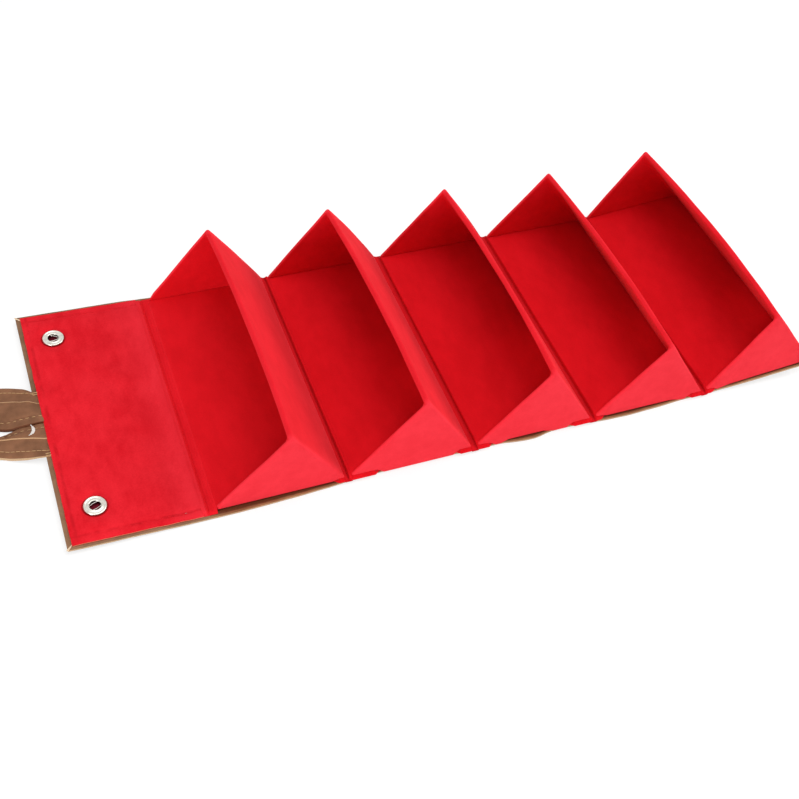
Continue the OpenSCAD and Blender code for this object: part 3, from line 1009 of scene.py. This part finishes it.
def place_socket(piece, y):
    """Sets a piece made round the middle of a socket into the flap."""
    socket = Vector((socket_at, y, 0))
    shape(piece, lambda p: lie(p + socket))


def roll(p):
    """Turns a torus's round section into the ring's."""
    around = math.atan2(p.y, p.x)
    turn = math.atan2(p.z, math.hypot(p.x, p.y) - torus_r) / (2 * math.pi) * len(ring_section)
    radius, high = ring_section[round(turn) % len(ring_section)]
    return Vector((radius * math.cos(around), radius * math.sin(around), high))


rings = []
for y in (-stud_y, stud_y):
    deselect()
    bpy.ops.mesh.primitive_torus_add(major_segments=72, minor_segments=len(ring_section),
                                     major_radius=torus_r, minor_radius=2)
    ring = bpy.context.object
    shape(ring, roll)
    modify(ring, "SUBSURF", levels=1, render_levels=1)
    place_socket(ring, y)
    rings.append(ring)
rings = join_all(rings, "socket_rings")
finish_piece(rings, ring_nickel, 80)
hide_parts("snap_rings")
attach(rings, "flap")

socket_floor_r, socket_floor_z = 3.3, 1.88
floors = []
for y in (-stud_y, stud_y):
    deselect()
    bpy.ops.mesh.primitive_cylinder_add(vertices=40, radius=socket_floor_r, depth=0.3,
                                        location=(0, 0, socket_floor_z))
    cup = bpy.context.object
    bpy.ops.object.transform_apply(location=True, rotation=False, scale=False)
    round_edges(cup, 0.08, 2)
    place_socket(cup, y)
    floors.append(cup)
floors = join_all(floors, "socket_floors")
finish_piece(floors, socket_floor_shade)
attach(floors, "flap")

# Each wire's socket, its side of the socket's middle, and its turn about that in degrees
wire_turns = [(-stud_y, -1, 25), (-stud_y, 1, 25), (stud_y, -1, 12), (stud_y, 1, -32)]
half_wire, wire_r = 3.4, 0.23


def bow(p, side, degrees):
    """Bends a wire away from the socket's middle and turns it."""
    p += Y * side * (1.5 + 0.45 * math.cos(p.x / half_wire * math.pi / 2)) + Z * 3.35
    return Matrix.Rotation(math.radians(degrees), 3, "Z") @ p


wires = []
for y, side, degrees in wire_turns:
    deselect()
    bpy.ops.mesh.primitive_cylinder_add(vertices=12, radius=wire_r, depth=2 * half_wire,
                                        rotation=(0, math.pi / 2, 0))
    bent = bpy.context.object
    bpy.ops.object.transform_apply(location=False, rotation=True, scale=False)
    slices(bent, X, steps(-half_wire, half_wire, 0.5))
    shape(bent, lambda p: bow(p, side, degrees))
    place_socket(bent, y)
    wires.append(bent)
wires = join_all(wires, "socket_wires")
finish_piece(wires, shaded_wire_metal, 60)
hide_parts("snap_springs")
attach(wires, "flap")


# Foam
# A sheet of white foam under the flap's suede. It is covered all over, so it keeps its plain
# form.
white_foam = speckled("white foam", 0.9, 3, 0.6, (0.62, 0.60, 0.54), (0.80, 0.78, 0.72),
                      0.08, 0.5, 0.95)
coat("flap_padding", white_foam)


# Hanging loop
# A strap of the same leather in one long loop, with a narrower layer sewn on over it that shows
# its pale cut edge. It lies a little askew, and its two ends go in between the flap's leather
# and lining.
root_x, root_z = -274.99, 4.633
skew, shift = math.radians(13), 3.0
# How far out the round end starts, its outer and inner radius, and how far in the tabs reach
loop_reach, loop_r, slot_r, tab_end = 80.0, 31.0, 9.5, 16.0
straight_run, round_run = loop_reach + tab_end, math.pi * (loop_r + slot_r) / 2
loop_run = 2 * straight_run + round_run


def askew(out, side):
    """A point in plan, out from the root and sideways from the loop's middle line."""
    return Vector((root_x - out * math.cos(skew) + side * math.sin(skew),
                   shift + out * math.sin(skew) + side * math.cos(skew)))


def edge_line(points, side):
    """An edge as distances out from the root and places across the flap, up to the round end."""
    end = askew(loop_reach, side)
    return points + [(root_x - end.x, end.y)]


outer_edges = {
    "back": edge_line([(-16, 23.9), (-4, 23.9), (-0.5, 26), (1.5, 29), (7.6, 32.2), (14.7, 35.8),
                       (30, 41.2), (50, 46.4)], loop_r),
    "front": edge_line([(-16, -23.9), (-1, -23.8), (4, -22.4), (8.6, -21.5), (15.4, -18.8),
                        (23, -15.2), (31, -13.6), (45, -12.6)], -loop_r)}
inner_edges = {
    "back": edge_line([(-16, 1.3), (3.7, 1.2), (12, 1.7), (14.8, 2.7), (19, 4.3), (25.4, 7.2)],
                      slot_r),
    "front": edge_line([(-16, 1.1), (3.7, 1.2), (9, 2.0), (12, 1.6), (14, 0.9), (17, 0.5), (20, 0.1),
                        (27.7, -0.8)], -slot_r)}
# What lies across the strap, as depths in from its outer edge: the outer seam and the pale cut
# edge, and as a depth in from its inner edge, the inner seam
seam_depths = {"back": [(-16, 0.8), (-4.5, 0.8), (5.5, 4.0), (15, 4.2), (80, 4.5)],
               "front": [(-16, 4.2), (-3, 4.2), (12, 5.2), (21, 4.5), (80, 4.5)]}
cut_depths = {"back": [(-16, 8.1), (-3.2, 8.1), (6.6, 11.3), (16.4, 12.0), (80, 10.6)],
              "front": [(-16, 12.9), (-3.8, 12.9), (8, 14.2), (15, 14.0), (21, 12.5), (26, 10.5),
                        (31, 8.8), (45, 8.4), (80, 9.9)]}
inner_depths = {"back": [(-16, 4.4), (8, 5.4), (80, 4.0)],
                "front": [(-16, 3.6), (12, 3.0), (80, 4.0)]}


def strand(t):
    """Points across the strap at t, from its front end round to its back end: inner edge, inner
    seam, foot and top of the upper layer, outer seam and outer edge."""
    run = t * loop_run
    side = "front" if run < loop_run / 2 else "back"
    out = min(loop_reach, min(run, loop_run - run) - tab_end)
    if straight_run < run < straight_run + round_run:
        a = (run - straight_run) / round_run * math.pi - math.pi / 2
        inner, outer = (askew(loop_reach + r * math.cos(a), r * math.sin(a))
                        for r in (slot_r, loop_r))
    else:
        lines = [edges[side] for edges in (inner_edges, outer_edges)]
        reach = [out * line[-1][0] / loop_reach if out > 0 else out for line in lines]
        inner, outer = (Vector((root_x - r, along(line, r, 2))) for r, line in zip(reach, lines))
    width = (outer - inner).length
    seam, cut, inside = (along(lines[side], out, 1)
                         for lines in (seam_depths, cut_depths, inner_depths))
    inside = min(inside, 0.4 * (width - cut))
    foot = inside + min(1.2, 0.3 * (width - cut - inside))
    return [outer.lerp(inner, d / width) for d in (width, width - inside, width - foot, cut, seam, 0)]


# Out from the root: the height of the strap's underside, and how much of its thickness is left
strap_base = [(-30, lie(Vector((root_x + 30, 0, leather_top))).z), (-1, 4.22), (0, 3.9), (3, 3.4),
              (18, 0.1), (21, 0.02), (200, 0.02)]
strap_share = [(-30, 0.25), (-2, 0.25), (0, 0.5), (10, 1.0), (200, 1.0)]
# Height of the strap's face from its inner edge, 0, to its outer one, 5, with both seams' dents
strap_face = [(0, 1.3), (0.12, 1.85), (0.35, 2.0), (0.8, 2.0), (1, 1.75), (1.3, 2.0), (1.85, 2.05),
              (2.05, 2.65), (2.5, 2.95), (2.9, 2.75), (3, 2.65), (3.04, 2.0), (3.7, 2.0), (4, 1.75),
              (4.3, 2.0), (4.85, 1.95), (5, 1.3)]


def strap_spot(t, across, height=1.0):
    """A point on the strap. across runs from 0 at its inner edge to 5 at its outer edge."""
    spots = strand(t)
    low = min(4, int(across))
    spot = spots[low].lerp(spots[low + 1], across - low)
    out = root_x - spot.x
    thick = height * along(strap_face, across, 0.01) * along(strap_share, out, 1)
    over = 0.9 * ramp((2 - across) / 1.5) * ramp((16 - out) / 6) if t > 0.5 else 0.0
    return Vector((spot.x, spot.y, along(strap_base, out, 1) + thick + over * height))


def strap_piece(name, rows, spot, material):
    """A unit block laid along the strap: X runs along it, Y across it and Z through it."""
    piece = block(name, (0, 0, 0), (1, 1, 1))
    slices(piece, X, [k / 190 for k in range(1, 190)])
    slices(piece, Y, rows)
    # Painted shade right at its inner edge, where one strand's side shades the other, and showing the
    # cut at its outer one
    mark_inset(piece, lambda p: 5.0 if p.y < 0.02 else 0.0)
    mark_raw(piece, lambda f: f.center.y > 0.99)
    shape(piece, spot)
    finish_piece(piece, material, 60)
    return piece


def bend_at_root(piece):
    """Bakes the piece's transform into its points; it does not bend the piece."""
    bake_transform(piece)


# The last number sets the painted shade along the strap's inner edge.
strap_hide = leather_finish("strap cowhide", (0.15, 0.062, 0.028), (0.27, 0.118, 0.058), 0.8, 0.9)
strap_rows = (0.06, 0.12, 0.35, 0.6, 0.8, 0.9, 1, 1.1, 1.3, 1.6, 1.85, 1.95, 2.05, 2.25, 2.5, 2.7,
              2.9, 3, 3.04, 3.3, 3.7, 3.85, 4, 4.15, 4.3, 4.6, 4.85, 4.94)
strap = strap_piece("strap", [at / 5 for at in strap_rows],
                    lambda p: strap_spot(p.x, p.y * 5, p.z), strap_hide)
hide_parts("strap_loop", "strap_tabs")
bend_at_root(strap)

# The cut edge and both seams run over the part of the strap that shows outside the lining
seen_from = (tab_end - 4.6) / loop_run
seen_run = 1 - 2 * seen_from


def cut_edge_spot(p):
    spot = strap_spot(seen_from + p.x * seen_run, 2.96 + 0.07 * p.y)
    return spot + Z * (0.1 if p.z > 0.5 else -0.4)


cut_hide = thread_finish("cut edge", (0.46, 0.26, 0.13), (0.66, 0.42, 0.24))
bend_at_root(strap_piece("strap_cut_edge", [0.5], cut_edge_spot, cut_hide))

cream = thread_finish("cream thread", (0.36, 0.20, 0.09), (0.60, 0.38, 0.20))


def strap_seam(name, count, length, across):
    """Stitches all round the strap at that place across it."""
    run = []
    for k in range(count):
        t = seen_from + seen_run * (k + 0.5) / count
        ahead = strap_spot(t + 0.002, across) - strap_spot(t - 0.002, across)
        run.append((strap_spot(t, across) + Z * 0.12, ahead.normalized()))
    bend_at_root(stitch_run(name, run, length, 0.5, cream, None))


strap_seam("strap_outer_seam", 88, 2.9, 4)
strap_seam("strap_inner_seam", 62, 2.4, 1)


# Tacks on the strap
# Short cream bar tacks hold the strap's corners where it enters the flap, and a pale crescent
# of thread, sewn in close rows, holds its two strands together.
tacks = [(Vector((root_x + back, y, 4.95)), X)
         for y in (-23.4, -21.9, 23.2, 24.6) for back in (3.6, 2.0)]
stitch_run("strap_tacks", tacks, 2.6, 0.7, cream, "flap")
tack_top, tack_foot = Vector((-278.5, 1.0, 0)), Vector((-280.6, -6.4, 0))
tack_belly = Vector((-275.7, -4.7, 0))


def tack_line(u):
    """The crescent's middle line, from its top at 0 to its foot at 1."""
    return tack_top * (1 - u) ** 2 + tack_belly * 2 * u * (1 - u) + tack_foot * u * u


crescent = []
for k in range(15):
    u = (k + 0.5) / 15
    ahead = (tack_line(u + 0.01) - tack_line(u - 0.01)).normalized()
    for row in (-2, -1, 0, 1, 2):
        if abs(row) <= 2.6 * math.sin(math.pi * u):
            spot = tack_line(u) + Vector((-ahead.y, ahead.x, 0)) * row * 0.34
            out = root_x - spot.x
            spot.z = along(strap_base, out, 1) + 3.05 * along(strap_share, out, 1)
            crescent.append((spot, ahead))
pale_thread = thread_finish("pale thread", (0.66, 0.62, 0.58), (0.84, 0.80, 0.76))
stitch_run("strap_crescent", crescent, 1.0, 0.5, pale_thread, "strap")
